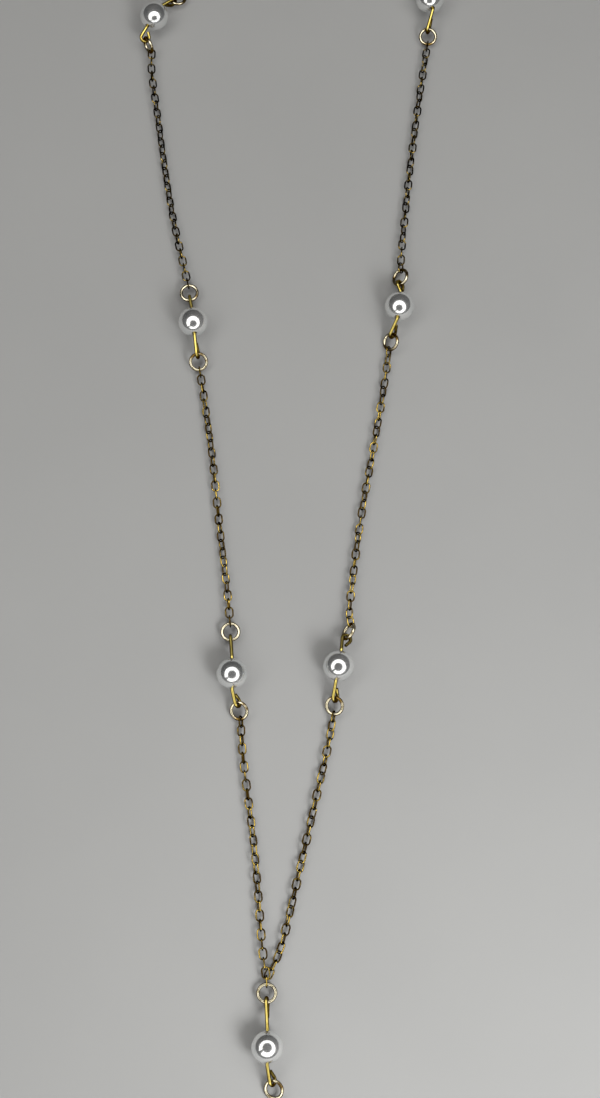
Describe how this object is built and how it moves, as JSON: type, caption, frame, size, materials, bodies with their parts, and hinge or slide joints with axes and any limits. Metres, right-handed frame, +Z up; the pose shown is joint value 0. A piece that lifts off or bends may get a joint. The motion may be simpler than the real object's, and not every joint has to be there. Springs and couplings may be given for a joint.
{
  "type": "lariat necklace",
  "caption": "Lariat necklace lying flat: round pearls on eye pins, joined by jump rings and fine cable chain into a long loop that slips over the head, with one pearl as the tail.",
  "frame": {"origin": "on the floor under the middle of the outline", "axes": "+X to the right and +Y from the tail up to the neck, as laid out in the picture; +Z up from the floor"},
  "size_m": [0.0865, 0.3206, 0.008],
  "materials": {
    "pearl": "pearl lustre coat, smooth",
    "pin_gold": "polished yellow gold plate",
    "ring_gold": "polished pale gold plate",
    "chain_brass": "antique brass, dark with worn bright spots"
  },
  "bodies": {
    "root": {"pearl_tail": "pearl", "pearl_left_low": "pearl", "pearl_left_mid": "pearl", "pearl_left_top": "pearl", "pearl_right_top": "pearl", "pearl_right_mid": "pearl", "pearl_right_low": "pearl", "eye_pin_tail": "pin_gold", "eye_pin_left_low": "pin_gold", "eye_pin_left_mid": "pin_gold", "eye_pin_left_top": "pin_gold", "eye_pin_right_top": "pin_gold", "eye_pin_right_mid": "pin_gold", "eye_pin_right_low": "pin_gold", "jump_ring_tail_end": "ring_gold", "jump_ring_junction": "ring_gold", "jump_ring_left_low_down": "ring_gold", "jump_ring_left_low_up": "ring_gold", "jump_ring_left_mid_down": "ring_gold", "jump_ring_left_mid_up": "ring_gold", "jump_ring_left_top_down": "ring_gold", "jump_ring_left_top_up": "ring_gold", "jump_ring_right_top_up": "ring_gold", "jump_ring_right_top_down": "ring_gold", "jump_ring_right_mid_up": "ring_gold", "jump_ring_right_mid_down": "ring_gold", "jump_ring_right_low_up": "ring_gold", "jump_ring_right_low_down": "ring_gold", "chain_left_low": "chain_brass", "chain_left_mid": "chain_brass", "chain_left_top": "chain_brass", "chain_neck": "chain_brass", "chain_right_top": "chain_brass", "chain_right_mid": "chain_brass", "chain_right_low": "chain_brass", "centre_link": "chain_brass"}
  },
  "joints": []
}
